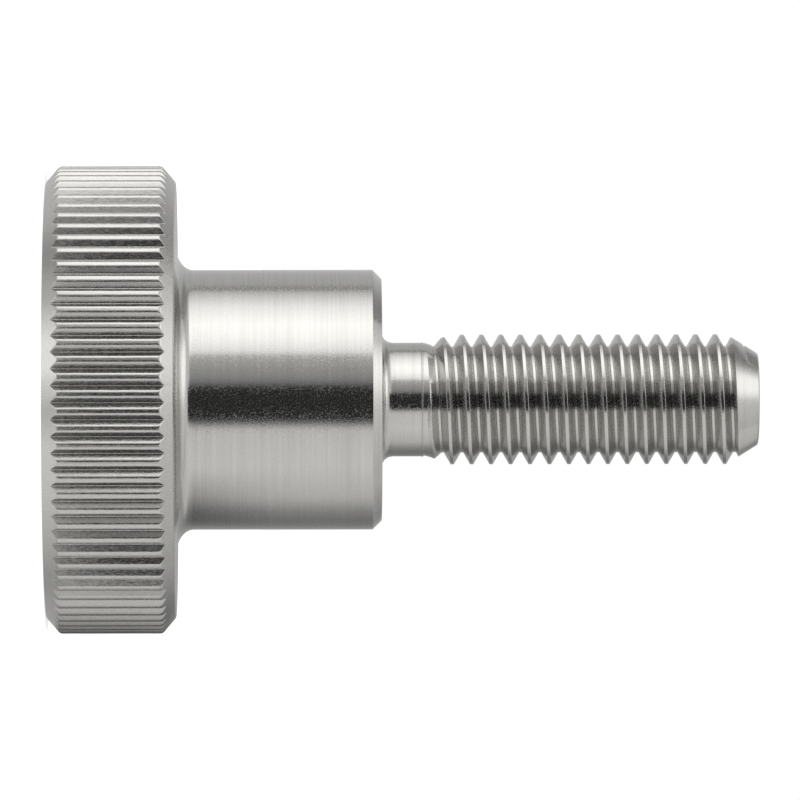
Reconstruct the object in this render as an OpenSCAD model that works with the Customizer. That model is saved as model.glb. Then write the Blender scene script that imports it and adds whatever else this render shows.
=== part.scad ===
// Knurled thumb screw, turned from one bar: a straight-knurled grip, a collar whose end
// face is the seat, a relieved neck, and a right-hand metric thread with a bevelled tip.
// It stands on the flat face of its grip, with its axis along +Z and the tip on top.

/* [Grip] */
// Diameter over the knurled lands
grip_d = 36; // [34:0.5:44]
// Height of the grip
grip_h = 10; // [8:0.5:14]
// Number of straight grooves round the grip
groove_count = 86; // [60:1:90]
// Depth of each groove
groove_depth = 0.46; // [0.3:0.01:0.6]
// Width of the land left between two grooves
land_w = 0.4; // [0.3:0.05:0.5]
// Rounding of both edges of that land
land_round = 0.3; // [0.1:0.05:0.35]
// Height of the bevel on both edges of the grip
grip_bevel_h = 1.05; // [0.8:0.05:1.5]
// Radial width of the same bevel
grip_bevel_w = 1.25; // [0.8:0.05:1.5]
// Rounding of the edges of that bevel
edge_round = 0.4; // [0.1:0.05:0.5]

/* [Collar] */
// Diameter of the collar
collar_d = 20; // [17:0.5:24]
// Height of the seat above the flat face of the grip
seat_z = 25.8; // [20:0.1:32]
// Bevel round the seat
seat_bevel = 0.7; // [0.3:0.1:1]
// Fillet between the grip and the collar
grip_fillet = 1.4; // [0.5:0.1:2]

/* [Neck] */
// How much thinner the neck is than the thread
neck_relief = 1.25; // [0.8:0.05:1.8]
// Length from the seat to the start of the thread
neck_l = 3.2; // [2:0.1:5]
// Fillet between the seat and the neck
neck_fillet = 0.7; // [0.3:0.1:1]

/* [Thread] */
// Major diameter of the thread
thread_d = 10; // [8:0.5:12]
// Pitch of the thread
pitch = 1.5; // [1.25:0.25:1.75]
// Turns over which the crest grows out of the neck
crest_runout = 1.6; // [1:0.1:3]
// Turns over which the root sinks below the neck
root_runout = 0.6; // [0.4:0.1:1]
// Length from the seat to the tip
shank_l = 29; // [16:1:40]
// Length of the bevel on the tip
tip_l = 2.4; // [1:0.1:3]
// Radial width of the same bevel
tip_w = 1.5; // [1:0.1:2]

/* [Hidden] */

grip_r = grip_d / 2;
collar_r = collar_d / 2;
thread_r = thread_d / 2;
neck_r = thread_r - neck_relief / 2;
tip_r = thread_r - tip_w;
thread_z = seat_z + neck_l;
tip_z = seat_z + shank_l;

// Half the angle that a groove and its land take, and half the angle of the groove's mouth
half_sector = 180 / groove_count;
half_mouth = half_sector - land_w / grip_r * 90 / PI;
// The rounding of a land ends this far outside the grip, so that it meets it at an angle
land_skin = 0.004;
// How far a cutting shape reaches past the metal
overcut = 0.5;
tip_round = 0.3;
edge_steps = 3;
fillet_steps = 48;

// Thread section: flanks at 60 degrees to each other, a narrow crest and a narrower root
flank_angle = 30;
crest_w = 0.16 * pitch;
root_w = 0.13 * pitch;
minor_r = thread_r - (pitch - crest_w - root_w) / 2 / tan(flank_angle);
section_z = [root_w / 2, (pitch - crest_w) / 2, (pitch + crest_w) / 2, pitch - root_w / 2];
section_r = [minor_r, thread_r, thread_r, minor_r];
section_edges = len(section_z);
turn_steps = 36;
// The thread is made longer than the shank, for the tip to be cut from it
thread_end_z = tip_z + overcut;
// Its edges start this many turns early, so that it begins all round the neck
early_turns = 2;
thread_turns = ceil((thread_end_z - thread_z) / pitch) + early_turns + 1;
thread_edges = section_edges * thread_turns;
// The thread's first ring lies this far inside the edge of the neck
ring_inset = 0.02;
start_r = neck_r - ring_inset;

function unit(v) = v / norm(v);

// Points that round the corner p, between its neighbours a and b, to radius r
function rounded(a, p, b, r) =
    let (to_a = unit(a - p), to_b = unit(b - p),
         half = acos(to_a * to_b) / 2,
         centre = p + unit(to_a + to_b) * r / sin(half),
         from = p + to_a * r / tan(half) - centre,
         turn = sign(cross(to_a, to_b)) * (2 * half - 180))
    [for (i = [0:edge_steps])
        let (t = turn * i / edge_steps)
        centre + [from.x * cos(t) - from.y * sin(t), from.x * sin(t) + from.y * cos(t)]];

// Half section of the turned blank, up to the start of the thread
module blank_outline() {
    rim_low = [grip_r - grip_bevel_w, 0];
    land_low = [grip_r, grip_bevel_h];
    land_high = [grip_r, grip_h - grip_bevel_h];
    rim_high = [grip_r - grip_bevel_w, grip_h];
    polygon(concat(
        [[0, 0]],
        rounded([0, 0], rim_low, land_low, edge_round),
        rounded(rim_low, land_low, land_high, edge_round),
        rounded(land_low, land_high, rim_high, edge_round),
        rounded(land_high, rim_high, [0, grip_h], edge_round),
        [[collar_r, grip_h], [collar_r, seat_z - seat_bevel], [collar_r - seat_bevel, seat_z],
         [neck_r, seat_z], [neck_r, thread_z], [0, thread_z]]
    ));
}

// Fillet of radius r in the corner between a wall and the face at its foot
module fillet(r, corner) {
    translate(corner) difference() {
        square(r);
        translate([r, r]) circle(r, $fn = fillet_steps);
    }
}

module blank() {
    rotate_extrude($fn = groove_count) {
        blank_outline();
        fillet(grip_fillet, [collar_r, grip_h]);
        fillet(neck_fillet, [neck_r, seat_z]);
    }
}

// One groove of the knurl: a V along the axis, open at both ends of the grip. Its mouth
// widens in a curve on each side, which rounds the edges of the lands.
module groove() {
    bottom = [grip_r - groove_depth, 0];
    land_r = grip_r + land_skin;
    edge = land_r * [cos(half_mouth), sin(half_mouth)];
    land_middle = land_r * [cos(half_sector), sin(half_sector)];
    curve = rounded(bottom, edge, land_middle, land_round);
    side = concat(curve, [curve[edge_steps] + [overcut, 0]]);
    translate([0, 0, -overcut]) linear_extrude(grip_h + 2 * overcut)
        polygon(concat([bottom], side, [for (i = [len(side) - 1:-1:0]) [side[i].x, -side[i].y]]));
}

module knurled_blank() {
    difference() {
        blank();
        // The first groove faces the front, -Y
        for (i = [0:groove_count - 1]) rotate([0, 0, 360 * i / groove_count - 90]) groove();
    }
}

// Point of the thread at a step of the turn, on the edge of its section that climbs with it.
// Edges that haven't reached the thread yet all lie on its first ring.
function thread_point(step, edge) =
    let (angle = 360 * step / turn_steps,
         climb = pitch * (floor(edge / section_edges) - early_turns + step / turn_steps),
         free_z = thread_z + climb + section_z[edge % section_edges],
         z = min(thread_end_z, max(thread_z, free_z)),
         full_r = z < thread_end_z ? section_r[edge % section_edges] : minor_r,
         runout = full_r > start_r ? crest_runout : root_runout,
         growth = min(1, (z - thread_z) / (runout * pitch)),
         r = start_r + growth * (full_r - start_r))
    [r * cos(angle), r * sin(angle), z];

// Index of that point. A full turn on, an edge meets the one a section higher.
function point_at(step, edge) =
    step < turn_steps
        ? step * thread_edges + edge
        : min(edge + section_edges, thread_edges - 1);

// Right-hand helical thread with flat ends
module thread() {
    points = [for (step = [0:turn_steps - 1], edge = [0:thread_edges - 1])
        thread_point(step, edge)];
    sides = [for (step = [0:turn_steps - 1], edge = [0:thread_edges - 2])
        let (low = point_at(step, edge), high = point_at(step, edge + 1),
             next_low = point_at(step + 1, edge), next_high = point_at(step + 1, edge + 1))
        each [[low, high, next_high], [low, next_high, next_low]]];
    foot = [for (step = [0:turn_steps - 1]) point_at(step, 0)];
    head = [for (step = [turn_steps - 1:-1:0]) point_at(step, thread_edges - 1)];
    polyhedron(points, concat(sides, [foot, head]));
}

// Half section of the room inside the bevelled tip, wider than the thread elsewhere
module tip_outline() {
    wide_r = thread_r + overcut;
    wide_z = tip_z - tip_l * (tip_w + overcut) / tip_w;
    polygon(concat(
        [[0, thread_z - overcut], [wide_r, thread_z - overcut], [wide_r, wide_z]],
        rounded([wide_r, wide_z], [tip_r, tip_z], [0, tip_z], tip_round),
        [[0, tip_z]]
    ));
}

module threaded_shank() {
    intersection() {
        thread();
        rotate_extrude($fn = groove_count) tip_outline();
    }
}

module thumb_screw() {
    color("silver") {
        knurled_blank();
        threaded_shank();
    }
}

thumb_screw();
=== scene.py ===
"""Knurled thumb screw, turned in one piece from stainless steel bar.

The knurl and the thread follow rules, so Geometry Nodes make them. The collar and neck are a
turned outline. All sizes are in metres, and the screw stands on its head with its axis on +Z.
"""

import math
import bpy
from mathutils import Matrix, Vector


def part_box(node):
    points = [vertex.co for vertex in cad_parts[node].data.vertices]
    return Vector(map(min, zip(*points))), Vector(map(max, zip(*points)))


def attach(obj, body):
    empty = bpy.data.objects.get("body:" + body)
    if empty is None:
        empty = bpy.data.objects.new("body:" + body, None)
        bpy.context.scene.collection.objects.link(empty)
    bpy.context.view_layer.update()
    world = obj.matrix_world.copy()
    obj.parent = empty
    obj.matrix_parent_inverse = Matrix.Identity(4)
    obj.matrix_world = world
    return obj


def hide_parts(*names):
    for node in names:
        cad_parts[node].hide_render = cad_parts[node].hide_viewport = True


bl_info = {
    "name": "Knurled thumb screw",
    "version": (1, 0, 0),
    "blender": (4, 5, 0),
    "location": "3D View > Sidebar > Thumb Screw",
    "description": "Builds a straight-knurled thumb screw with a collar and a metric thread",
    "category": "Add Mesh",
}

import bpy
from mathutils import Matrix, Vector

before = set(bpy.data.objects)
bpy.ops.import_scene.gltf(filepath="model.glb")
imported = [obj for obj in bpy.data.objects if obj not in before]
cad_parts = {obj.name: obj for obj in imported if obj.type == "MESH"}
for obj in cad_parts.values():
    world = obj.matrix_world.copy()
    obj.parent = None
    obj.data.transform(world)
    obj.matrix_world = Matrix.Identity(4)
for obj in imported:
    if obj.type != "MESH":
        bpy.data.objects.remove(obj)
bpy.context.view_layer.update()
SCREW_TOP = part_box("thumb_screw")[1].z

MM = 0.001
# Points on a rounded corner and on the wide fillet, rows of faces along a groove, and segments
# round a turned piece and round the light tent
ARC_STEPS = 4
FILLET_STEPS = 16
GROOVE_STEPS = 16
TURNED_SEGMENTS = 256
TENT_SEGMENTS = 96
# How far from a rounded corner the flat beside it gets its own edge
EDGE_SUPPORT = 0.02 * MM
# Turned faces meet at an edge where they turn by more than this
SHARP_ANGLE = math.radians(30)
# How far a hidden end of a piece reaches into its neighbour
HIDDEN_REACH = 0.5 * MM
# The hair's breadth that keeps two faces in one plane from flickering
SKIN = 0.001 * MM
# Radial depth of a thread flank for each unit of its length along the axis
FLANK_SLOPE = math.tan(math.radians(60))
# The thread begins this far inside the neck, and starts this many turns early, so that the
# whole round of the neck is covered. The last turns close its end on the axis
RING_INSET = 0.02 * MM
EARLY_TURNS = 2
CLOSING_TURNS = 2
# Noise keeps near its middle, so it is spread by this much to reach the wander's full size
WOBBLE_SPREAD = 4
# Length of a turning mark and of a drag mark, in widths
MARK_STRETCH = 60
DRAG_STRETCH = 4
# Size of the fine grain in turned steel, and how much the rings count beside it for the colour
GRAIN_SIZE = 0.11 * MM
RING_SHARE = 0.6
# The marks' noise is all dull steel below the first of these and all clean above the second
DULL_STOP, CLEAN_STOP = 0.3, 0.7


# ---------------------------------------------------------------- sizes and colours


def length(name, description, default):
    """A size in metres, shown in the scene's units."""
    return bpy.props.FloatProperty(
        name=name, description=description, default=default,
        min=0, precision=5, subtype="DISTANCE", unit="LENGTH",
    )


class GripSizes(bpy.types.PropertyGroup):
    diameter: length("Diameter", "Diameter over the knurled lands", 36 * MM)
    height: length("Height", "Height of the grip", 10 * MM)
    grooves: bpy.props.IntProperty(
        name="Grooves", description="Straight grooves round the grip", default=86, min=12, max=90
    )
    groove_depth: length("Groove depth", "Depth of each groove", 0.46 * MM)
    land_width: length("Land width", "Width of the land between two grooves", 0.4 * MM)
    land_round: length("Land rounding", "Rounding of the edges of each land", 0.3 * MM)
    root_round: length("Root rounding", "Rounding at the bottom of each groove", 0.05 * MM)
    bevel_height: length("Bevel height", "Height of the bevel on both rims", 1.05 * MM)
    bevel_width: length("Bevel width", "Radial width of the same bevel", 1.25 * MM)
    bevel_round: length("Bevel rounding", "Rounding of the edges of that bevel", 0.4 * MM)
    groove_end_round: length("Groove end", "Rounding where a groove breaks out", 0.06 * MM)
    wobble: length("Wobble", "How far the rolled edges wander", 0.006 * MM)
    wobble_length: length("Wobble length", "Length of one wander along an edge", 0.8 * MM)


class CollarSizes(bpy.types.PropertyGroup):
    diameter: length("Diameter", "Diameter of the collar", 20 * MM)
    seat_height: length("Seat height", "Height of the seat above the head's face", 25.8 * MM)
    seat_bevel: length("Seat bevel", "Bevel round the seat", 0.7 * MM)
    edge_round: length("Edge rounding", "Rounding of the edges of that bevel", 0.06 * MM)
    grip_fillet: length("Grip fillet", "Height of the fillet on the grip", 1.35 * MM)
    fillet_width: length("Fillet width", "Radial width of the same fillet", 1.9 * MM)
    neck_diameter: length("Neck diameter", "Diameter of the relieved neck", 8.75 * MM)
    neck_length: length("Neck length", "Length from the seat to the thread", 3.2 * MM)
    neck_bead: length("Neck bead", "Height of the bead where the thread begins", 0.03 * MM)
    neck_fillet: length("Neck fillet", "Fillet between the seat and the neck", 0.85 * MM)


class ThreadSizes(bpy.types.PropertyGroup):
    diameter: length("Diameter", "Major diameter of the thread", 10 * MM)
    pitch: length("Pitch", "Pitch of the right-hand thread", 1.5 * MM)
    crest_width: length("Crest width", "Width of the flat crest", 0.24 * MM)
    root_width: length("Root width", "Width of the root", 0.2 * MM)
    crest_round: length("Crest rounding", "Rounding of the crest's edges", 0.06 * MM)
    root_round: length("Root rounding", "Rounding of the root's corners", 0.07 * MM)
    crest_start: length("Crest start", "Height at which the crest begins to grow", 0.3 * MM)
    crest_runout: length("Crest runout", "Height over which the crest grows", 1.8 * MM)
    root_runout: length("Root runout", "Height over which the root sinks", 0.9 * MM)
    tip_bevel_height: length("Tip bevel height", "Length of the bevel on the tip", 2.4 * MM)
    tip_bevel_width: length("Tip bevel width", "Radial width of that bevel", 1.5 * MM)
    tip_round: length("Tip rounding", "Rounding of the tip's edge", 0.3 * MM)
    turn_steps: bpy.props.IntProperty(
        name="Steps a turn", description="Steps in one turn of the thread", default=96, min=24
    )


class SteelFinish(bpy.types.PropertyGroup):
    colour: bpy.props.StringProperty(
        name="Steel colour", description="Colour of clean steel, as sRGB hex", default="#C9C8C5"
    )
    dull_colour: bpy.props.StringProperty(
        name="Dull colour", description="Colour in the marks, as sRGB hex", default="#B7B6B2"
    )
    turning_pitch: length("Turning marks", "Spacing of the marks that the tool left", 0.22 * MM)
    drag_width: length("Drag marks", "Width of the marks that rolling left", 0.09 * MM)


class StudioSizes(bpy.types.PropertyGroup):
    view_distance: length("View distance", "From the camera to the screw's axis", 731 * MM)
    view_height: length("View height", "Height of the camera above the floor", 18.9 * MM)
    aim_height: length("Aim height", "Height at the middle of the view", 27.23 * MM)
    view_width: length("View width", "Width of the view at the screw's axis", 61.63 * MM)
    side_step: bpy.props.FloatProperty(
        name="Side step", description="Turn of the camera round the screw, away from the front",
        default=math.radians(-0.66), subtype="ANGLE", unit="ROTATION",
    )
    lean: bpy.props.FloatProperty(
        name="Lean", description="Roll of the camera", default=math.radians(0.08),
        subtype="ANGLE", unit="ROTATION",
    )
    tent_radius: length("Tent radius", "Radius of the light tent round the screw", 450 * MM)
    tent_height: length("Tent height", "Height of the light tent", 600 * MM)
    card_height: length("Card height", "Height of the dark card in front", 400 * MM)
    card_clearance: length("Card clearance", "From the screw to the dark card's foot", 30 * MM)
    ground_radius: length("Ground radius", "Radius of the pale ground under the head", 24 * MM)
    flag_gap: length("Flag gap", "From the grip to the painted shade flag beside it", 0.7 * MM)
    flag_width: length("Flag width", "Width of the painted shade flag", 34 * MM)
    flag_height: length("Flag height", "Height of the painted shade flag", 20 * MM)


class ThumbScrew(bpy.types.PropertyGroup):
    grip: bpy.props.PointerProperty(type=GripSizes)
    collar: bpy.props.PointerProperty(type=CollarSizes)
    thread: bpy.props.PointerProperty(type=ThreadSizes)
    steel: bpy.props.PointerProperty(type=SteelFinish)
    studio: bpy.props.PointerProperty(type=StudioSizes)


# ---------------------------------------------------------------- shapes


def outline(corners):
    """Points along an outline of (x, y, radius) corners, each rounded to its radius.
    A flat beside a rounded corner gets one more point near it, which keeps it flat."""
    points = []
    for i, (x, y, radius) in enumerate(corners):
        corner = Vector((x, y))
        if not radius:
            points.append(corner)
            continue
        to_before = (Vector(corners[i - 1][:2]) - corner).normalized()
        to_after = (Vector(corners[i + 1][:2]) - corner).normalized()
        half = to_before.angle(to_after) / 2
        reach = radius / math.tan(half)
        centre = corner + (to_before + to_after).normalized() * radius / math.sin(half)
        first = (corner + to_before * reach - centre).normalized()
        last = (corner + to_after * reach - centre).normalized()
        arc = [centre + first.slerp(last, k / ARC_STEPS) * radius for k in range(ARC_STEPS + 1)]
        points += [arc[0] + to_before * EDGE_SUPPORT, *arc, arc[-1] + to_after * EDGE_SUPPORT]
    return points


def new_object(name, vertices, edges, faces):
    """An object in the scene with this mesh."""
    mesh = bpy.data.meshes.new(name)
    mesh.from_pydata(vertices, edges, faces)
    mesh.validate()
    made = bpy.data.objects.new(name, mesh)
    bpy.context.scene.collection.objects.link(made)
    return made


def turned(name, points, segments):
    """A body turned round the Z axis from (radius, height) points. Both ends lie on the axis."""
    rings = points[1:-1]
    vertices = [(0, 0, points[0].y), (0, 0, points[-1].y)]
    for radius, height in rings:
        for k in range(segments):
            angle = 2 * math.pi * k / segments
            vertices.append((radius * math.cos(angle), radius * math.sin(angle), height))
    faces = []
    last = 2 + (len(rings) - 1) * segments
    for k in range(segments):
        after = (k + 1) % segments
        faces.append((0, 2 + after, 2 + k))
        faces.append((1, last + k, last + after))
        for ring in range(len(rings) - 1):
            low = 2 + ring * segments
            high = low + segments
            faces.append((low + k, low + after, high + after, high + k))
    return new_object(name, vertices, [], faces)


def grip_sector(grip):
    """One groove of the grip with half a land on each side, as a sector from axis to axis."""
    radius = grip.diameter / 2
    rim = radius - grip.bevel_width
    half_sector = math.pi / grip.grooves
    half_mouth = half_sector - grip.land_width / 2 / radius
    across = outline([
        (-radius * math.sin(half_sector), radius * math.cos(half_sector), 0),
        (-radius * math.sin(half_mouth), radius * math.cos(half_mouth), grip.land_round),
        (0, radius - grip.groove_depth, grip.root_round),
        (radius * math.sin(half_mouth), radius * math.cos(half_mouth), grip.land_round),
        (radius * math.sin(half_sector), radius * math.cos(half_sector), 0),
    ])
    columns = []
    for point in across:
        reach = point.length
        # Lands keep the wide rounding of the blank's bevel, and grooves a crisp one from a third
        # of their depth down
        depth = min(1, (radius - reach) / (grip.groove_depth / 3))
        end_round = grip.bevel_round + depth * (grip.groove_end_round - grip.bevel_round)
        end = grip.bevel_height * (reach - rim) / grip.bevel_width
        side = outline([
            (0, 0, 0), (rim, 0, grip.bevel_round), (reach, end, end_round),
            (reach, grip.height - end, end_round), (rim, grip.height, grip.bevel_round),
            (0, grip.height, 0),
        ])
        middle = len(side) // 2
        low, high = side[middle - 1], side[middle]
        body = [low.lerp(high, k / GROOVE_STEPS) for k in range(1, GROOVE_STEPS)]
        angle = math.atan2(point.x, point.y)
        columns.append([(r, z, angle) for r, z in side[:middle] + body + side[middle:]])
    rows = len(columns[0])
    # The middle of the groove faces +X here, and is turned to its place with the others
    vertices = [
        (r * math.cos(angle), -r * math.sin(angle), z) for column in columns
        for r, z, angle in column
    ]
    faces = [
        (c * rows + k, c * rows + k + 1, (c + 1) * rows + k + 1, (c + 1) * rows + k)
        for c in range(len(columns) - 1) for k in range(rows - 1)
    ]
    return new_object("grip_sector", vertices, [], faces)


def thread_section(thread):
    """The thread's section over one pitch, from the middle of a root to the next, as a line."""
    crest = thread.diameter / 2
    flank = (thread.pitch - thread.crest_width - thread.root_width) / 2
    root = crest - flank * FLANK_SLOPE
    points = outline([
        (root, 0, 0), (root, thread.root_width / 2, thread.root_round),
        (crest, thread.pitch / 2 - thread.crest_width / 2, thread.crest_round),
        (crest, thread.pitch / 2 + thread.crest_width / 2, thread.crest_round),
        (root, thread.pitch - thread.root_width / 2, thread.root_round), (root, thread.pitch, 0),
    ])
    vertices = [(x, 0, z) for x, z in points]
    edges = [(k, k + 1) for k in range(len(points) - 1)]
    return new_object("thread_section", vertices, edges, []), root


# ---------------------------------------------------------------- nodes


def add(tree, kind, settings=(), inputs=()):
    """Adds a node, sets its settings, and gives each input a value or the socket to read."""
    node = tree.nodes.new(kind)
    for name, value in dict(settings).items():
        setattr(node, name, value)
    for key, value in dict(inputs).items():
        if isinstance(value, bpy.types.NodeSocket):
            tree.links.new(value, node.inputs[key])
        else:
            node.inputs[key].default_value = value
    return node


def from_axis(tree, place):
    """Distance of a place from the screw's axis."""
    flat = add(tree, "ShaderNodeVectorMath", {"operation": "MULTIPLY"}, {0: place, 1: (1, 1, 0)})
    radius = add(tree, "ShaderNodeVectorMath", {"operation": "LENGTH"}, {0: flat.outputs[0]})
    return radius.outputs["Value"]


def geometry_tree(name, sizes):
    """A Geometry Nodes tree with a geometry input, a material input and these named sizes.
    sizes maps each input's name to its socket type."""
    tree = bpy.data.node_groups.new(name, "GeometryNodeTree")
    tree.interface.new_socket("Geometry", in_out="OUTPUT", socket_type="NodeSocketGeometry")
    tree.interface.new_socket("Geometry", in_out="INPUT", socket_type="NodeSocketGeometry")
    for label, kind in {**sizes, "Material": "NodeSocketMaterial"}.items():
        tree.interface.new_socket(label, in_out="INPUT", socket_type=kind)
    return tree, add(tree, "NodeGroupInput").outputs


def ring_of_grooves():
    """Repeats a sector of the grip round the axis and lets its rolled edges wander a little."""
    tree, given = geometry_tree("ring of grooves", {
        "Grooves": "NodeSocketInt", "First angle": "NodeSocketFloat",
        "Root radius": "NodeSocketFloat", "Wobble": "NodeSocketFloat",
        "Wobble length": "NodeSocketFloat", "Seed": "NodeSocketInt",
    })
    index = add(tree, "GeometryNodeInputIndex")
    share = add(tree, "ShaderNodeMath", {"operation": "DIVIDE"}, {
        0: index.outputs[0], 1: given["Grooves"]})
    turn = add(tree, "ShaderNodeMath", {"operation": "MULTIPLY_ADD"}, {
        0: share.outputs[0], 1: 2 * math.pi, 2: given["First angle"]})
    rotation = add(tree, "ShaderNodeCombineXYZ", inputs={"Z": turn.outputs[0]})
    points = add(tree, "GeometryNodePoints", inputs={"Count": given["Grooves"]})
    sectors = add(tree, "GeometryNodeInstanceOnPoints", inputs={
        "Points": points.outputs[0], "Instance": given["Geometry"],
        "Rotation": rotation.outputs[0]})
    real = add(tree, "GeometryNodeRealizeInstances", inputs={"Geometry": sectors.outputs[0]})
    merged = add(tree, "GeometryNodeMergeByDistance", inputs={
        "Geometry": real.outputs[0], "Distance": SKIN})

    # Only the grooves and lands wander. The bevels and end faces are turned after rolling
    position = add(tree, "GeometryNodeInputPosition")
    rolled = add(tree, "FunctionNodeCompare", {"operation": "GREATER_THAN"}, {
        "A": from_axis(tree, position.outputs[0]), "B": given["Root radius"]})
    frequency = add(tree, "ShaderNodeMath", {"operation": "DIVIDE"}, {
        0: 1.0, 1: given["Wobble length"]})
    noise = add(tree, "ShaderNodeTexNoise", {"noise_dimensions": "4D"}, {
        "Vector": position.outputs[0], "W": given["Seed"], "Scale": frequency.outputs[0],
        "Detail": 1.0})
    centred = add(tree, "ShaderNodeVectorMath", {"operation": "SUBTRACT"}, {
        0: noise.outputs["Color"], 1: (0.5, 0.5, 0.5)})
    sideways = add(tree, "ShaderNodeVectorMath", {"operation": "MULTIPLY"}, {
        0: centred.outputs[0], 1: (WOBBLE_SPREAD, WOBBLE_SPREAD, 0)})
    offset = add(tree, "ShaderNodeVectorMath", {"operation": "SCALE"}, {
        0: sideways.outputs[0], "Scale": given["Wobble"]})
    moved = add(tree, "GeometryNodeSetPosition", inputs={
        "Geometry": merged.outputs[0], "Selection": rolled.outputs[0],
        "Offset": offset.outputs[0]})
    smooth = add(tree, "GeometryNodeSetShadeSmooth", inputs={"Geometry": moved.outputs[0]})
    final = add(tree, "GeometryNodeSetMaterial", inputs={
        "Geometry": smooth.outputs[0], "Material": given["Material"]})
    add(tree, "NodeGroupOutput", inputs={0: final.outputs[0]})
    return tree


def helical_thread():
    """Winds the section it is given up the axis as a right-hand thread. The crest grows out
    of the neck and the root sinks into it, and the ends close on the axis."""
    tree, given = geometry_tree("helical thread", {
        "Pitch": "NodeSocketFloat", "Turns": "NodeSocketInt", "Steps a turn": "NodeSocketInt",
        "Start height": "NodeSocketFloat", "End height": "NodeSocketFloat",
        "Start radius": "NodeSocketFloat", "End radius": "NodeSocketFloat",
        "Crest start": "NodeSocketFloat", "Crest runout": "NodeSocketFloat",
        "Root runout": "NodeSocketFloat",
    })
    section = add(tree, "GeometryNodeAttributeDomainSize", {"component": "MESH"}, {
        "Geometry": given["Geometry"]})
    steps = add(tree, "ShaderNodeMath", {"operation": "MULTIPLY_ADD"}, {
        0: given["Turns"], 1: given["Steps a turn"], 2: 1.0})
    grid = add(tree, "GeometryNodeMeshGrid", inputs={
        "Vertices X": steps.outputs[0], "Vertices Y": section.outputs["Point Count"]})

    # Each point's place in the section, and the turns that it has climbed
    index = add(tree, "GeometryNodeInputIndex")
    place = add(tree, "ShaderNodeMath", {"operation": "MODULO"}, {
        0: index.outputs[0], 1: section.outputs["Point Count"]})
    row = add(tree, "ShaderNodeMath", {"operation": "DIVIDE"}, {
        0: index.outputs[0], 1: section.outputs["Point Count"]})
    step = add(tree, "ShaderNodeMath", {"operation": "FLOOR"}, {0: row.outputs[0]})
    turns = add(tree, "ShaderNodeMath", {"operation": "DIVIDE"}, {
        0: step.outputs[0], 1: given["Steps a turn"]})
    place_whole = add(tree, "FunctionNodeFloatToInt", {"rounding_mode": "ROUND"}, {
        0: place.outputs[0]})
    position = add(tree, "GeometryNodeInputPosition")
    sampled = add(tree, "GeometryNodeSampleIndex", {
        "data_type": "FLOAT_VECTOR", "domain": "POINT"}, {
        "Geometry": given["Geometry"], "Value": position.outputs[0],
        "Index": place_whole.outputs[0]})
    edge = add(tree, "ShaderNodeSeparateXYZ", inputs={0: sampled.outputs[0]})

    # The height that the point climbs to, held between the thread's ends
    early = add(tree, "ShaderNodeMath", {"operation": "SUBTRACT"}, {
        0: turns.outputs[0], 1: EARLY_TURNS})
    climb = add(tree, "ShaderNodeMath", {"operation": "MULTIPLY_ADD"}, {
        0: early.outputs[0], 1: given["Pitch"], 2: edge.outputs["Z"]})
    free = add(tree, "ShaderNodeMath", {"operation": "ADD"}, {
        0: climb.outputs[0], 1: given["Start height"]})
    above = add(tree, "ShaderNodeMath", {"operation": "MAXIMUM"}, {
        0: free.outputs[0], 1: given["Start height"]})
    height = add(tree, "ShaderNodeMath", {"operation": "MINIMUM"}, {
        0: above.outputs[0], 1: given["End height"]})

    # Crests grow and roots sink, each over its own runout
    is_crest = add(tree, "FunctionNodeCompare", {"operation": "GREATER_THAN"}, {
        "A": edge.outputs["X"], "B": given["Start radius"]})
    runout = add(tree, "GeometryNodeSwitch", {"input_type": "FLOAT"}, {
        "Switch": is_crest.outputs[0], "False": given["Root runout"],
        "True": given["Crest runout"]})
    begins = add(tree, "GeometryNodeSwitch", {"input_type": "FLOAT"}, {
        "Switch": is_crest.outputs[0], "False": 0.0, "True": given["Crest start"]})
    clear = add(tree, "ShaderNodeMath", {"operation": "ADD"}, {
        0: begins.outputs[0], 1: given["Start height"]})
    risen = add(tree, "ShaderNodeMath", {"operation": "SUBTRACT"}, {
        0: height.outputs[0], 1: clear.outputs[0]})
    growth = add(tree, "ShaderNodeMath", {"operation": "DIVIDE", "use_clamp": True}, {
        0: risen.outputs[0], 1: runout.outputs[0]})
    full = add(tree, "ShaderNodeMath", {"operation": "SUBTRACT"}, {
        0: edge.outputs["X"], 1: given["Start radius"]})
    grown = add(tree, "ShaderNodeMath", {"operation": "MULTIPLY_ADD"}, {
        0: full.outputs[0], 1: growth.outputs[0], 2: given["Start radius"]})

    # Past the ends the points lie on a ring, and half a pitch further on the axis
    half_pitch = add(tree, "ShaderNodeMath", {"operation": "MULTIPLY"}, {
        0: given["Pitch"], 1: 0.5})
    below = add(tree, "ShaderNodeMath", {"operation": "SUBTRACT"}, {
        0: given["Start height"], 1: half_pitch.outputs[0]})
    beyond = add(tree, "ShaderNodeMath", {"operation": "ADD"}, {
        0: given["End height"], 1: half_pitch.outputs[0]})
    past_end = add(tree, "FunctionNodeCompare", {"operation": "GREATER_THAN"}, {
        "A": free.outputs[0], "B": given["End height"]})
    ringed = add(tree, "GeometryNodeSwitch", {"input_type": "FLOAT"}, {
        "Switch": past_end.outputs[0], "False": grown.outputs[0], "True": given["End radius"]})
    under_axis = add(tree, "FunctionNodeCompare", {"operation": "LESS_THAN"}, {
        "A": free.outputs[0], "B": below.outputs[0]})
    over_axis = add(tree, "FunctionNodeCompare", {"operation": "GREATER_THAN"}, {
        "A": free.outputs[0], "B": beyond.outputs[0]})
    on_axis = add(tree, "FunctionNodeBooleanMath", {"operation": "OR"}, {
        0: under_axis.outputs[0], 1: over_axis.outputs[0]})
    radius = add(tree, "GeometryNodeSwitch", {"input_type": "FLOAT"}, {
        "Switch": on_axis.outputs[0], "False": ringed.outputs[0], "True": 0.0})

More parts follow.
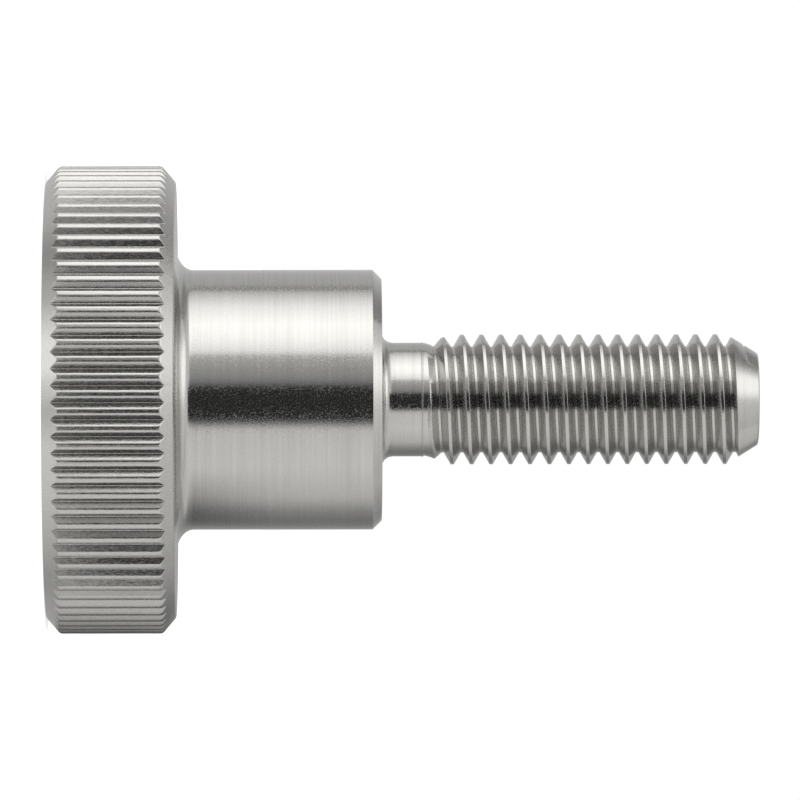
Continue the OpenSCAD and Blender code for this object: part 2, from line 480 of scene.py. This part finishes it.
    angle = add(tree, "ShaderNodeMath", {"operation": "MULTIPLY"}, {
        0: turns.outputs[0], 1: 2 * math.pi})
    cosine = add(tree, "ShaderNodeMath", {"operation": "COSINE"}, {0: angle.outputs[0]})
    sine = add(tree, "ShaderNodeMath", {"operation": "SINE"}, {0: angle.outputs[0]})
    x = add(tree, "ShaderNodeMath", {"operation": "MULTIPLY"}, {
        0: radius.outputs[0], 1: cosine.outputs[0]})
    y = add(tree, "ShaderNodeMath", {"operation": "MULTIPLY"}, {
        0: radius.outputs[0], 1: sine.outputs[0]})
    wound = add(tree, "ShaderNodeCombineXYZ", inputs={
        0: x.outputs[0], 1: y.outputs[0], 2: height.outputs[0]})
    placed = add(tree, "GeometryNodeSetPosition", inputs={
        "Geometry": grid.outputs["Mesh"], "Position": wound.outputs[0]})
    real = add(tree, "GeometryNodeRealizeInstances", inputs={"Geometry": placed.outputs[0]})
    merged = add(tree, "GeometryNodeMergeByDistance", inputs={
        "Geometry": real.outputs[0], "Distance": SKIN})
    smooth = add(tree, "GeometryNodeSetShadeSmooth", inputs={"Geometry": merged.outputs[0]})
    final = add(tree, "GeometryNodeSetMaterial", inputs={
        "Geometry": smooth.outputs[0], "Material": given["Material"]})
    add(tree, "NodeGroupOutput", inputs={0: final.outputs[0]})
    return tree


def wind(base, tree, values):
    """Puts a Geometry Nodes tree on an object and sets its inputs by their identifiers."""
    modifier = base.modifiers.new(tree.name, "NODES")
    modifier.node_group = tree
    for item in tree.interface.items_tree:
        if item.in_out == "INPUT" and item.name in values:
            modifier[item.identifier] = values[item.name]


def finished(name, base, material):
    """Turns an object's modifiers into a plain mesh, which stands for the solid screw."""
    depsgraph = bpy.context.evaluated_depsgraph_get()
    mesh = bpy.data.meshes.new_from_object(base.evaluated_get(depsgraph))
    mesh.name = name
    if not mesh.polygons:
        raise RuntimeError(f"{name} came out empty")
    bpy.data.objects.remove(base)
    piece = bpy.data.objects.new(name, mesh)
    bpy.context.scene.collection.objects.link(piece)
    mesh.materials.clear()
    mesh.materials.append(material)
    mesh.shade_smooth()
    mesh.set_sharp_from_angle(angle=SHARP_ANGLE)
    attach(piece, "root")
    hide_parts("thumb_screw")
    return piece


# ---------------------------------------------------------------- materials


def linear(colour):
    """A linear colour from sRGB hex."""
    parts = [int(colour[k:k + 2], 16) / 255 for k in (1, 3, 5)]
    return (*[p / 12.92 if p <= 0.04045 else ((p + 0.055) / 1.055) ** 2.4 for p in parts], 1)


def new_material(name):
    """An empty material and its node tree."""
    made = bpy.data.materials.new(name)
    made.use_nodes = True
    made.node_tree.nodes.clear()
    return made, made.node_tree


def turning_rings(tree, place, spacing):
    """Fine marks that run round the axis, one for each spacing along an outline."""
    parts = add(tree, "ShaderNodeSeparateXYZ", inputs={0: place})
    across = add(tree, "ShaderNodeMath", {"operation": "DIVIDE"}, {
        0: from_axis(tree, place), 1: spacing})
    along = add(tree, "ShaderNodeMath", {"operation": "DIVIDE"}, {
        0: parts.outputs["Z"], 1: spacing})
    way_x = add(tree, "ShaderNodeMath", {"operation": "DIVIDE"}, {
        0: parts.outputs["X"], 1: spacing * MARK_STRETCH})
    way_y = add(tree, "ShaderNodeMath", {"operation": "DIVIDE"}, {
        0: parts.outputs["Y"], 1: spacing * MARK_STRETCH})
    marks = add(tree, "ShaderNodeCombineXYZ", inputs={
        0: across.outputs[0], 1: along.outputs[0], 2: way_x.outputs[0]})
    rings = add(tree, "ShaderNodeTexNoise", {"noise_dimensions": "4D"}, {
        "Vector": marks.outputs[0], "W": way_y.outputs[0], "Scale": 1.0, "Detail": 2.0,
        "Roughness": 0.6})
    return rings.outputs["Fac"]


def steel_tone(tree, steel, marks):
    """The colour of the steel, a little duller in its marks."""
    tone = add(tree, "ShaderNodeValToRGB", inputs={"Fac": marks})
    dull, clean = tone.color_ramp.elements
    dull.position, clean.position = DULL_STOP, CLEAN_STOP
    dull.color, clean.color = linear(steel.dull_colour), linear(steel.colour)
    return tone.outputs[0]


def turned_stainless_steel(steel):
    """Stainless steel turned on a lathe: a fine tool mark runs round every face, so that
    reflections stay sharp round the screw, with faint rings and a fine sparkle."""
    made, tree = new_material("turned stainless steel")
    place = add(tree, "ShaderNodeTexCoord").outputs["Object"]
    # Tool feed is about 0.1 mm. The marks are drawn at twice that, to show at this distance
    rings = turning_rings(tree, place, steel.turning_pitch)
    grain = add(tree, "ShaderNodeTexNoise", inputs={
        "Vector": place, "Scale": 1 / GRAIN_SIZE, "Detail": 1.0})
    roughness = add(tree, "ShaderNodeMapRange", inputs={
        "Value": grain.outputs["Fac"], "From Min": 0.4, "From Max": 0.75,
        "To Min": 0.08, "To Max": 0.33})
    marked = add(tree, "ShaderNodeMix", {"data_type": "FLOAT"}, {
        "Factor": RING_SHARE, "A": grain.outputs["Fac"], "B": rings})
    cut = add(tree, "ShaderNodeBump", inputs={
        "Strength": 1.0, "Distance": 0.0006 * MM, "Height": rings})
    pitted = add(tree, "ShaderNodeBump", inputs={
        "Strength": 1.0, "Distance": 0.0022 * MM, "Height": grain.outputs["Fac"],
        "Normal": cut.outputs[0]})
    shader = add(tree, "ShaderNodeBsdfPrincipled", inputs={
        "Base Color": steel_tone(tree, steel, marked.outputs[0]), "Metallic": 1.0,
        "Roughness": roughness.outputs[0], "Normal": pitted.outputs[0]})
    add(tree, "ShaderNodeOutputMaterial", inputs={"Surface": shader.outputs[0]})
    return made


def knurled_stainless_steel(steel):
    """Stainless steel with a rolled knurl: the roll leaves fine drag marks along the flanks,
    which break up what they reflect, and the turned bevels keep their fine rings."""
    made, tree = new_material("knurled stainless steel")
    place = add(tree, "ShaderNodeTexCoord").outputs["Object"]
    rings = turning_rings(tree, place, steel.turning_pitch)
    # Real drag marks are some 0.03 mm wide. They are drawn three times coarser, to show
    drawn_out = add(tree, "ShaderNodeVectorMath", {"operation": "MULTIPLY"}, {
        0: place, 1: (1, 1, 1 / DRAG_STRETCH)})
    drag = add(tree, "ShaderNodeTexNoise", inputs={
        "Vector": drawn_out.outputs[0], "Scale": 1 / steel.drag_width, "Detail": 2.0,
        "Roughness": 0.6})
    cut = add(tree, "ShaderNodeBump", inputs={
        "Strength": 1.0, "Distance": 0.0012 * MM, "Height": rings})
    dragged = add(tree, "ShaderNodeBump", inputs={
        "Strength": 1.0, "Distance": 0.0032 * MM, "Height": drag.outputs["Fac"],
        "Normal": cut.outputs[0]})
    roughness = add(tree, "ShaderNodeMapRange", inputs={
        "Value": drag.outputs["Fac"], "From Min": 0.3, "From Max": 0.7,
        "To Min": 0.19, "To Max": 0.35})
    shader = add(tree, "ShaderNodeBsdfPrincipled", inputs={
        "Base Color": steel_tone(tree, steel, drag.outputs["Fac"]), "Metallic": 1.0,
        "Roughness": roughness.outputs[0], "Normal": dragged.outputs[0]})
    add(tree, "ShaderNodeOutputMaterial", inputs={"Surface": shader.outputs[0]})
    return made


# ---------------------------------------------------------------- pieces


class THUMB_SCREW_OT_knurled_grip(bpy.types.Operator):
    """Make the knurled grip from one groove that is repeated round the axis"""

    bl_idname = "thumb_screw.knurled_grip"
    bl_label = "Knurled grip"

    def execute(self, context):
        grip = context.scene.thumb_screw.grip
        material = knurled_stainless_steel(context.scene.thumb_screw.steel)
        sector = grip_sector(grip)
        wind(sector, ring_of_grooves(), {
            "Grooves": grip.grooves, "First angle": -math.pi / 2,
            "Root radius": grip.diameter / 2 - grip.groove_depth,
            "Wobble": grip.wobble, "Wobble length": grip.wobble_length, "Seed": 7,
            "Material": material,
        })
        finished("knurled_grip", sector, material)
        return {"FINISHED"}


class THUMB_SCREW_OT_collar_and_neck(bpy.types.Operator):
    """Turn the collar with its seat and the relieved neck"""

    bl_idname = "thumb_screw.collar_and_neck"
    bl_label = "Collar and neck"

    def execute(self, context):
        settings = context.scene.thumb_screw
        collar, grip = settings.collar, settings.grip
        radius = collar.diameter / 2
        neck, bead = collar.neck_diameter / 2, collar.neck_bead
        thread_start = collar.seat_height + collar.neck_length
        bead_start, bead_full = thread_start - 5 * bead, thread_start - 3 * bead
        foot = radius + collar.fillet_width
        fillet = []
        for k in range(FILLET_STEPS + 1):
            turn = math.pi / 2 * k / FILLET_STEPS
            fillet.append((foot - collar.fillet_width * math.sin(turn),
                           grip.height - SKIN + collar.grip_fillet * (1 - math.cos(turn)), 0))
        points = outline([
            (0, grip.height - HIDDEN_REACH, 0),
            (foot + HIDDEN_REACH, grip.height - HIDDEN_REACH, 0),
            (foot + HIDDEN_REACH, grip.height - SKIN, 0), *fillet,
            (radius, grip.height + collar.grip_fillet + EDGE_SUPPORT, 0),
            (radius, collar.seat_height - collar.seat_bevel, collar.edge_round),
            (radius - collar.seat_bevel, collar.seat_height, collar.edge_round),
            (neck, collar.seat_height, collar.neck_fillet),
            (neck, bead_start, bead), (neck + bead, bead_full, bead),
            (neck + bead, thread_start, bead),
            (neck - HIDDEN_REACH, thread_start, 0), (0, thread_start + HIDDEN_REACH, 0),
        ])
        blank = turned("collar_blank", points, TURNED_SEGMENTS)
        finished("collar_and_neck", blank, turned_stainless_steel(settings.steel))
        return {"FINISHED"}


class THUMB_SCREW_OT_threaded_shank(bpy.types.Operator):
    """Wind the thread up the shank and cut the bevel on its tip"""

    bl_idname = "thumb_screw.threaded_shank"
    bl_label = "Threaded shank"

    def execute(self, context):
        settings = context.scene.thumb_screw
        collar, thread = settings.collar, settings.thread
        material = turned_stainless_steel(settings.steel)
        start = collar.seat_height + collar.neck_length
        end = SCREW_TOP + HIDDEN_REACH
        section, root = thread_section(thread)
        turns = math.ceil((end - start) / thread.pitch) + EARLY_TURNS + CLOSING_TURNS
        wind(section, helical_thread(), {
            "Pitch": thread.pitch, "Turns": turns,
            "Steps a turn": thread.turn_steps, "Start height": start, "End height": end,
            "Start radius": collar.neck_diameter / 2 - RING_INSET, "End radius": root,
            "Crest start": thread.crest_start, "Crest runout": thread.crest_runout,
            "Root runout": thread.root_runout, "Material": material,
        })
        wide = thread.diameter / 2 + HIDDEN_REACH
        slope = thread.tip_bevel_height / thread.tip_bevel_width
        bevel = turned("tip_bevel", outline([
            (0, start - HIDDEN_REACH, 0), (wide, start - HIDDEN_REACH, 0),
            (wide, SCREW_TOP - slope * (thread.tip_bevel_width + HIDDEN_REACH), 0),
            (thread.diameter / 2 - thread.tip_bevel_width, SCREW_TOP, thread.tip_round),
            (0, SCREW_TOP, 0),
        ]), TURNED_SEGMENTS)
        cut = section.modifiers.new("tip bevel", "BOOLEAN")
        cut.operation = "INTERSECT"
        cut.object = bevel
        finished("threaded_shank", section, material)
        bpy.data.objects.remove(bevel)
        return {"FINISHED"}


# ---------------------------------------------------------------- stage


# What the floor adds of its own light where the eye or the metal sees it, and its reach
FLOOR_LIFT = 0.55
FLOOR_REACH = 5.0
# The lamp stands behind the camera, so that the shadow falls behind the screw
LAMP_SIZE = 0.6
LAMP_POWER = 4.0
LAMP_PLACE = (-0.1, -0.6, 0.7)
# Strength of the world as light on the screw. Seen directly or in metal it is 1
WORLD_STRENGTH = 0.8
# The camera's small shift in the frame, and the nearest and farthest that it sees, in metres
LENS_SHIFT = -0.0005
NEAREST, FARTHEST = 0.05, 20


def seen_white(tree):
    """1 for what the eye sees, in the open, through glass or in metal, and 0 for other light."""
    path = add(tree, "ShaderNodeLightPath")
    seen = add(tree, "ShaderNodeMath", {"operation": "MAXIMUM"}, {
        0: path.outputs["Is Camera Ray"], 1: path.outputs["Is Transmission Ray"]})
    in_metal = add(tree, "ShaderNodeMath", {"operation": "MAXIMUM"}, {
        0: seen.outputs[0], 1: path.outputs["Is Glossy Ray"]})
    return in_metal.outputs[0]


def plain_white_floor():
    """Matt white floor. It takes the screw's shadow, and shows white to the eye and in the
    metal."""
    made, tree = new_material("matt white floor")
    lift = add(tree, "ShaderNodeMath", {"operation": "MULTIPLY"}, {
        0: seen_white(tree), 1: FLOOR_LIFT})
    matt = add(tree, "ShaderNodeBsdfDiffuse", inputs={"Color": linear("#E8E8E8")})
    lit = add(tree, "ShaderNodeEmission", inputs={
        "Color": linear("#FFFFFF"), "Strength": lift.outputs[0]})
    both = add(tree, "ShaderNodeAddShader", inputs={0: matt.outputs[0], 1: lit.outputs[0]})
    add(tree, "ShaderNodeOutputMaterial", inputs={"Surface": both.outputs[0]})
    return made


# Brightness of the light tent's wall, by the angle round the screw in degrees, from the front
# towards the left, and the same high on the wall
WALL = [
    (-180, 0.5), (-158, 0.34), (-144, 0.27), (-132, 0.26), (-115, 0.39), (-95, 0.74),
    (-60, 0.93), (-22, 0.88), (0, 0.35), (14, 0.36), (20, 0.41), (27, 0.48), (39, 0.65),
    (43.5, 1.42), (56, 1.78), (70, 1.93), (90, 1.52), (111, 0.77), (115, 0.36), (118, 0.42),
    (125, 0.6), (150, 0.6), (180, 0.65),
]
HIGH_WALL = [
    (-180, 0.6), (-160, 0.47), (-150, 0.41), (-142, 0.48), (-128, 0.72), (-100, 0.82),
    (-60, 0.9), (0, 0.81), (60, 0.9), (88, 0.73), (98, 0.55), (108, 0.38), (118, 0.35),
    (135, 0.33), (141, 0.38), (147, 0.46), (151, 0.57), (160, 0.56), (180, 0.6),
]
# The wall turns into the high wall between these shares of the tent's height
WALL_RISE = (0.3, 0.5)
# How much the dark card in front covers, by the same angle
CARD = [
    (-180, 0), (-25, 0), (-19, 0.8), (-16, 1), (9, 1), (12, 0.9), (15, 0.3), (20, 0), (180, 0),
]
CARD_BRIGHTNESS = 0.033
# The card is gone at this many times its height, and whole from this many times its clearance
CARD_TOP_FADE, CARD_FOOT_FADE = 1.1, 1.5
# Brightness of the ground close to the screw, by the same angle: a painted reflection in lighter
# and darker bands, which the head's lower bevel shows
GROUND = [
    (-180, 0.49), (-65, 0.49), (-57, 0.46), (-51, 0.48), (-46, 0.55), (-41, 0.64), (-33, 0.76),
    (-25, 0.9), (-12, 1.0), (-2, 0.75), (5, 1.1), (9, 1.38), (16, 1.33), (27, 0.73), (33, 0.61),
    (38, 0.49), (42, 0.45), (47, 0.52), (52, 0.63), (58, 0.69), (66, 0.68), (180, 0.6),
]
# Brightness of the ceiling, by the distance in millimetres from the middle of its soft light,
# and what a smaller light behind the screw adds to it. Their middles are in metres
CEILING_SPAN = 600
CEILING = [(0, 1.75), (120, 1.7), (165, 1.56), (212, 1.17), (262, 0.92), (350, 0.84), (600, 0.7)]
SOFT_LIGHT = (-0.2, -0.115)
BACK_GLOW = [(0, 0.4), (50, 0.36), (100, 0.16), (150, 0), (600, 0)]
BACK_LIGHT = (-0.105, 0.135)
# Share of light that the painted shade film's dark middle lets through, and the share of its height
# that is as dark as that
FILM_CLEARNESS = 0.3
FILM_DARK_HEIGHT = 0.3


def paint(tree, share, stops, low, high):
    """Brightness along a row of (place, brightness) stops, where share is 0 at low and 1 at
    high."""
    ramp = add(tree, "ShaderNodeValToRGB", inputs={"Fac": share})
    while len(ramp.color_ramp.elements) < len(stops):
        ramp.color_ramp.elements.new(0.5)
    for element, (place, brightness) in zip(ramp.color_ramp.elements, stops):
        element.position = (place - low) / (high - low)
        element.color = (brightness, brightness, brightness, 1)
    return ramp.outputs[0]


def ceiling_light(tree, place, middle, height, stops):
    """Brightness of the ceiling round the middle of one of its lights."""
    away = add(tree, "ShaderNodeVectorMath", {"operation": "DISTANCE"}, {
        0: place, 1: (*middle, height)})
    share = add(tree, "ShaderNodeMapRange", inputs={
        "Value": away.outputs["Value"], "From Max": CEILING_SPAN * MM})
    return paint(tree, share.outputs[0], stops, 0, CEILING_SPAN)


def painted_tent(studio):
    """Cloth of the light tent, painted in soft bands that only the metal sees: a wall with a dark
    card in front, a soft light in the ceiling, and a pale ground under the head, whose lighter and
    darker bands are a painted reflection for the head's lower bevel."""
    made, tree = new_material("painted light tent")
    place = add(tree, "ShaderNodeTexCoord").outputs["Object"]
    parts = add(tree, "ShaderNodeSeparateXYZ", inputs={0: place})
    left = add(tree, "ShaderNodeMath", {"operation": "MULTIPLY"}, {0: parts.outputs["X"], 1: -1.0})
    front = add(tree, "ShaderNodeMath", {"operation": "MULTIPLY"}, {0: parts.outputs["Y"], 1: -1.0})
    angle = add(tree, "ShaderNodeMath", {"operation": "ARCTAN2"}, {
        0: left.outputs[0], 1: front.outputs[0]})
    turn = add(tree, "ShaderNodeMapRange", inputs={
        "Value": angle.outputs[0], "From Min": -math.pi, "From Max": math.pi})
    low_wall, high_wall, card, ground = (
        paint(tree, turn.outputs[0], stops, -180, 180) for stops in (WALL, HIGH_WALL, CARD, GROUND)
    )
    rise = add(tree, "ShaderNodeMapRange", {"interpolation_type": "SMOOTHSTEP"}, {
        "Value": parts.outputs["Z"], "From Min": WALL_RISE[0] * studio.tent_height,
        "From Max": WALL_RISE[1] * studio.tent_height})
    wall = add(tree, "ShaderNodeMix", {"data_type": "FLOAT"}, {
        "Factor": rise.outputs[0], "A": low_wall, "B": high_wall})

    # The dark card stops short of the ceiling and of the screw
    radius = from_axis(tree, place)
    under_top = add(tree, "ShaderNodeMapRange", {"interpolation_type": "SMOOTHSTEP"}, {
        "Value": parts.outputs["Z"], "From Min": CARD_TOP_FADE * studio.card_height,
        "From Max": studio.card_height})
    past_foot = add(tree, "ShaderNodeMapRange", {"interpolation_type": "SMOOTHSTEP"}, {
        "Value": radius, "From Min": studio.card_clearance,
        "From Max": CARD_FOOT_FADE * studio.card_clearance})
    standing = add(tree, "ShaderNodeMath", {"operation": "MULTIPLY"}, {
        0: under_top.outputs[0], 1: past_foot.outputs[0]})
    covered = add(tree, "ShaderNodeMath", {"operation": "MULTIPLY"}, {
        0: standing.outputs[0], 1: card})
    round_screw = add(tree, "ShaderNodeMix", {"data_type": "FLOAT"}, {
        "Factor": covered.outputs[0], "A": wall.outputs[0], "B": CARD_BRIGHTNESS})

    # Close to the screw, the ground's painted reflection for the head's lower bevel takes the place
    # of the wall
    near = add(tree, "ShaderNodeMath", {"operation": "LESS_THAN"}, {
        0: radius, 1: studio.ground_radius})
    with_ground = add(tree, "ShaderNodeMix", {"data_type": "FLOAT"}, {
        "Factor": near.outputs[0], "A": round_screw.outputs[0], "B": ground})
    soft_light = ceiling_light(tree, place, SOFT_LIGHT, studio.tent_height, CEILING)
    back_light = ceiling_light(tree, place, BACK_LIGHT, studio.tent_height, BACK_GLOW)
    ceiling = add(tree, "ShaderNodeMath", {"operation": "ADD"}, {0: soft_light, 1: back_light})
    overhead = add(tree, "ShaderNodeMath", {"operation": "GREATER_THAN"}, {
        0: parts.outputs["Z"], 1: studio.tent_height - MM})
    whole = add(tree, "ShaderNodeMix", {"data_type": "FLOAT"}, {
        "Factor": overhead.outputs[0], "A": with_ground.outputs[0], "B": ceiling.outputs[0]})
    light = add(tree, "ShaderNodeEmission", inputs={"Strength": whole.outputs[0]})
    add(tree, "ShaderNodeOutputMaterial", inputs={"Surface": light.outputs[0]})
    return made


def painted_shade_film(studio):
    """Clear film, darkened in a soft patch of painted shade. It dims what the lower side of the
    grip reflects, as the shade of a table under the grip would.
    """
    made, tree = new_material("painted shade film")
    place = add(tree, "ShaderNodeTexCoord").outputs["Object"]
    parts = add(tree, "ShaderNodeSeparateXYZ", inputs={0: place})
    # The patch of painted shade is darkest low in the middle, and fades out towards the film's
    # edges and top
    aside = add(tree, "ShaderNodeMath", {"operation": "ABSOLUTE"}, {0: parts.outputs["Y"]})
    across = add(tree, "ShaderNodeMapRange", {"interpolation_type": "SMOOTHSTEP"}, {
        "Value": aside.outputs[0], "From Min": studio.flag_width / 2, "From Max": 0.0})
    upward = add(tree, "ShaderNodeMapRange", {"interpolation_type": "SMOOTHSTEP"}, {
        "Value": parts.outputs["Z"], "From Min": studio.flag_height,
        "From Max": FILM_DARK_HEIGHT * studio.flag_height})
    shade_patch = add(tree, "ShaderNodeMath", {"operation": "MULTIPLY"}, {
        0: across.outputs[0], 1: upward.outputs[0]})
    clear = add(tree, "ShaderNodeMapRange", inputs={
        "Value": shade_patch.outputs[0], "To Min": 1.0, "To Max": FILM_CLEARNESS})
    film = add(tree, "ShaderNodeBsdfTransparent", inputs={"Color": clear.outputs[0]})
    add(tree, "ShaderNodeOutputMaterial", inputs={"Surface": film.outputs[0]})
    return made


class THUMB_SCREW_OT_studio(bpy.types.Operator):
    """Set up the floor, the light tent, the lamp, the world and the camera"""

    bl_idname = "thumb_screw.studio"
    bl_label = "Studio"

    def execute(self, context):
        studio = context.scene.thumb_screw.studio
        corners = [(-1, -1), (1, -1), (1, 1), (-1, 1)]
        floor = new_object("floor", [
            (x * FLOOR_REACH, y * FLOOR_REACH, -SKIN) for x, y in corners
        ], [], [(0, 1, 2, 3)])
        floor.data.materials.append(plain_white_floor())

        tent = turned("light_tent", [
            Vector((0, SKIN)), Vector((studio.tent_radius, SKIN)),
            Vector((studio.tent_radius, studio.tent_height)), Vector((0, studio.tent_height)),
        ], TENT_SEGMENTS)
        tent.data.materials.append(painted_tent(studio))
        # Beside the grip stands a film of painted shade, which only the metal sees: it darkens what
        # the lower side of the grip reflects
        side = context.scene.thumb_screw.grip.diameter / 2 + studio.flag_gap
        edge = studio.flag_width / 2
        flag = new_object("painted_shade_flag", [
            (side, -edge, 0), (side, edge, 0), (side, edge, studio.flag_height),
            (side, -edge, studio.flag_height),
        ], [], [(0, 1, 2, 3)])
        flag.data.materials.append(painted_shade_film(studio))
        for unseen in (tent, flag):
            unseen.visible_camera = False
            unseen.visible_diffuse = False
            unseen.visible_shadow = False
            unseen.visible_transmission = False

        lamp = bpy.data.lights.new("soft_lamp", "AREA")
        lamp.size = LAMP_SIZE
        lamp.energy = LAMP_POWER
        soft_lamp = bpy.data.objects.new("soft_lamp", lamp)
        soft_lamp.location = LAMP_PLACE
        soft_lamp.rotation_euler = soft_lamp.location.to_track_quat("Z", "Y").to_euler()
        soft_lamp.visible_glossy = False
        context.scene.collection.objects.link(soft_lamp)

        world = bpy.data.worlds.new("white studio")
        world.use_nodes = True
        tree = world.node_tree
        tree.nodes.clear()
        strength = add(tree, "ShaderNodeMapRange", inputs={
            "Value": seen_white(tree), "To Min": WORLD_STRENGTH, "To Max": 1.0})
        sky = add(tree, "ShaderNodeBackground", inputs={
            "Color": linear("#FFFFFF"), "Strength": strength.outputs[0]})
        add(tree, "ShaderNodeOutputWorld", inputs={"Surface": sky.outputs[0]})
        context.scene.world = world

        lens = bpy.data.cameras.new("camera")
        lens.lens = lens.sensor_width * studio.view_distance / studio.view_width
        lens.shift_y = LENS_SHIFT
        lens.clip_start = NEAREST
        lens.clip_end = FARTHEST
        camera = bpy.data.objects.new("camera", lens)
        aim = Vector((0, 0, studio.aim_height))
        turn = studio.side_step
        camera.location = (studio.view_distance * math.sin(turn),
                           -studio.view_distance * math.cos(turn), studio.view_height)
        look = (aim - camera.location).normalized()
        right = look.cross(Vector((-1, 0, math.tan(studio.lean)))).normalized()
        up = right.cross(look)
        facing = Matrix((right, up, -look)).transposed().to_4x4()
        camera.matrix_world = Matrix.Translation(camera.location) @ facing
        context.scene.collection.objects.link(camera)
        context.scene.camera = camera
        context.scene.view_settings.view_transform = "Standard"
        return {"FINISHED"}


class THUMB_SCREW_PT_panel(bpy.types.Panel):
    bl_idname = "THUMB_SCREW_PT_panel"
    bl_label = "Thumb Screw"
    bl_space_type = "VIEW_3D"
    bl_region_type = "UI"
    bl_category = "Thumb Screw"

    def draw(self, context):
        settings = context.scene.thumb_screw
        for label, group, operators in (
            ("Grip", settings.grip, ["thumb_screw.knurled_grip"]),
            ("Collar and neck", settings.collar, ["thumb_screw.collar_and_neck"]),
            ("Thread", settings.thread, ["thumb_screw.threaded_shank"]),
            ("Steel", settings.steel, []),
            ("Studio", settings.studio, ["thumb_screw.studio"]),
        ):
            box = self.layout.box()
            box.label(text=label)
            for key in group.__annotations__:
                box.prop(group, key)
            for operator in operators:
                box.operator(operator)


CLASSES = (
    GripSizes, CollarSizes, ThreadSizes, SteelFinish, StudioSizes, ThumbScrew,
    THUMB_SCREW_OT_knurled_grip, THUMB_SCREW_OT_collar_and_neck,
    THUMB_SCREW_OT_threaded_shank, THUMB_SCREW_OT_studio, THUMB_SCREW_PT_panel,
)


def register():
    for cls in CLASSES:
        bpy.utils.register_class(cls)
    bpy.types.Scene.thumb_screw = bpy.props.PointerProperty(type=ThumbScrew)


def unregister():
    del bpy.types.Scene.thumb_screw
    for cls in reversed(CLASSES):
        bpy.utils.unregister_class(cls)


def main():
    register()
    bpy.ops.thumb_screw.knurled_grip()
    bpy.ops.thumb_screw.collar_and_neck()
    bpy.ops.thumb_screw.threaded_shank()
    bpy.ops.thumb_screw.studio()


if __name__ == "__main__":
    main()
